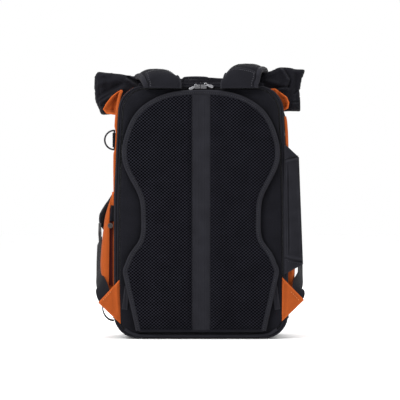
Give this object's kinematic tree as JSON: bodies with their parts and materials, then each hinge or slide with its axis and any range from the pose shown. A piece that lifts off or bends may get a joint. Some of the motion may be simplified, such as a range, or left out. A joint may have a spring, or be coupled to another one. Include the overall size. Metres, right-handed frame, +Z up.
{
  "type": "solar backpack",
  "caption": "Roll-top backpack with a zipped padded back door, folded-over shoulder straps, side handle and a solar panel on its outer face.",
  "frame": {"origin": "middle of the footprint, on the surface that the pack stands on", "axes": "+Z up, -Y out of the wearer's side with the back door, +Y out of the solar panel's side, +X to the right when the back door is looked at"},
  "size_m": [0.3626, 0.2045, 0.4765],
  "materials": {
    "black_fabric": "water-repellent polyester twill",
    "orange_fabric": "coated orange polyester",
    "air_mesh": "open air mesh over foam",
    "ribbed_webbing": "fine ribbed webbing",
    "binding": "stitched binding tape",
    "strap_knit": "knit mesh and fabric over foam",
    "webbing": "woven webbing",
    "zip_tape": "coated zip tape",
    "zip_metal": "polished nickel plate",
    "dark_metal": "black coated steel",
    "black_plastic": "moulded acetal",
    "grey_plastic": "moulded grey acetal",
    "frame_plastic": "polyethylene sheet",
    "stay_aluminium": "extruded flat bar",
    "lining": "grey nylon lining",
    "backsheet": "laminated polymer sheet",
    "panel_fabric": "coated fabric border",
    "silicon": "dark blue monocrystalline cells",
    "clear_film": "clear textured polymer film",
    "eyelet_metal": "rolled eyelet",
    "circuit": "green circuit board",
    "socket_steel": "tin-plated shell",
    "rubber_cover": "soft moulded cover"
  },
  "bodies": {
    "pack": {"base_loop_left": "webbing", "base_straps": "webbing", "base_tray": "black_fabric", "battery_pouch": "lining", "bottle_pocket_left": "orange_fabric", "bottle_pocket_right": "orange_fabric", "closure_loops": "webbing", "closure_strap": "webbing", "collar_gussets": "orange_fabric", "collar_roof": "black_fabric", "collar_strap_right": "black_fabric", "controller_board": "circuit", "controller_case": "black_plastic", "cord_lock_barrel": "grey_plastic", "d_ring_tunnel": "black_fabric", "door_rim": "black_fabric", "door_zip_chain": "zip_tape", "front_panel": "black_fabric", "front_pocket": "black_fabric", "ladder_lock_left": "black_plastic", "ladder_lock_right": "black_plastic", "laptop_sleeve": "lining", "lower_webbing_left": "webbing", "lower_webbing_right": "webbing", "panel_backsheet": "backsheet", "panel_border": "panel_fabric", "panel_cover": "clear_film", "panel_eyelets": "eyelet_metal", "pocket_zip_chain": "zip_tape", "roll_top": "black_fabric", "shoulder_strap_left": "strap_knit", "shoulder_strap_right": "strap_knit", "side_panel_left": "orange_fabric", "side_panel_right": "orange_fabric", "solar_cells": "silicon", "strap_anchor_left": "orange_fabric", "strap_anchor_right": "orange_fabric", "top_yoke": "black_fabric", "usb_socket": "socket_steel"},
    "back_door": {"door_panel": "black_fabric", "frame_sheet": "frame_plastic", "frame_stays": "stay_aluminium", "door_lining": "lining", "pad_binding": "binding", "back_pad_left": "air_mesh", "back_pad_right": "air_mesh", "channel_strip": "ribbed_webbing", "belt_slot_flaps": "black_fabric"},
    "zip_slider_left": {"door_zip_slider_left": "zip_metal"},
    "zip_slider_right": {"door_zip_slider_right": "zip_metal"},
    "zip_pull_left": {"door_zip_pull_left": "zip_metal"},
    "zip_pull_right": {"door_zip_pull_right": "zip_metal"},
    "pocket_slider": {"pocket_zip_slider": "zip_metal"},
    "pocket_pull": {"pocket_zip_pull": "zip_metal"},
    "d_ring": {"d_ring": "dark_metal"},
    "side_handle": {"side_handle": "black_fabric"},
    "grab_handle": {"grab_handle": "black_fabric"},
    "closure_hook": {"closure_hook": "dark_metal"},
    "usb_cover": {"usb_cover": "rubber_cover"},
    "cord_lock_button": {"cord_lock_button": "black_plastic"}
  },
  "joints": [
    {"name": "back_door_hinge", "type": "hinge", "parent": "pack", "child": "back_door", "pos_m": [0, -0.1, 0.016], "axis": [1, 0, 0], "range_deg": [0, 90]},
    {"name": "zip_slide_left", "type": "slide", "parent": "pack", "child": "zip_slider_left", "axis": [-1, 0, 0], "range_m": [0, 0.018]},
    {"name": "zip_slide_right", "type": "slide", "parent": "pack", "child": "zip_slider_right", "axis": [1, 0, 0], "range_m": [0, 0.018]},
    {"name": "zip_pull_flip_left", "type": "hinge", "parent": "zip_slider_left", "child": "zip_pull_left", "pos_m": [-0.0065, -0.09035, 0.4354], "axis": [-0.1045, 0, 0.9945], "range_deg": [0, 90]},
    {"name": "zip_pull_flip_right", "type": "hinge", "parent": "zip_slider_right", "child": "zip_pull_right", "pos_m": [0.0045, -0.09035, 0.4354], "axis": [-0.0349, 0, -0.9994], "range_deg": [0, 90]},
    {"name": "pocket_zip_slide", "type": "slide", "parent": "pack", "child": "pocket_slider", "axis": [1, 0, 0], "range_m": [0, 0.115]},
    {"name": "pocket_pull_flip", "type": "hinge", "parent": "pocket_slider", "child": "pocket_pull", "pos_m": [-0.058, 0.09765, 0.329], "axis": [1, 0, 0], "range_deg": [0, 160]},
    {"name": "d_ring_swing", "type": "hinge", "parent": "pack", "child": "d_ring", "pos_m": [-0.1498, -0.078, 0.3435], "axis": [0, 0, 1], "range_deg": [-75, 75]},
    {"name": "side_handle_swing", "type": "hinge", "parent": "pack", "child": "side_handle", "pos_m": [0.1443, -0.0901, 0.22], "axis": [0, 0, -1], "range_deg": [0, 75]},
    {"name": "grab_handle_tilt", "type": "hinge", "parent": "pack", "child": "grab_handle", "pos_m": [-0.009, -0.074, 0.445], "axis": [1, 0, 0], "range_deg": [-70, 70]},
    {"name": "closure_hook_swing", "type": "hinge", "parent": "pack", "child": "closure_hook", "pos_m": [0, 0.0774, 0.368], "axis": [1, 0, 0], "range_deg": [0, 80]},
    {"name": "usb_cover_flap", "type": "hinge", "parent": "pack", "child": "usb_cover", "pos_m": [-0.015, 0.0896, 0.26085], "axis": [1, 0, 0], "range_deg": [0, 100], "stiffness_Nm_per_rad": 0.002},
    {"name": "cord_lock_press", "type": "slide", "parent": "pack", "child": "cord_lock_button", "axis": [0, 1, 0], "range_m": [0, 0.0025], "stiffness_N_per_m": 200}
  ]
}
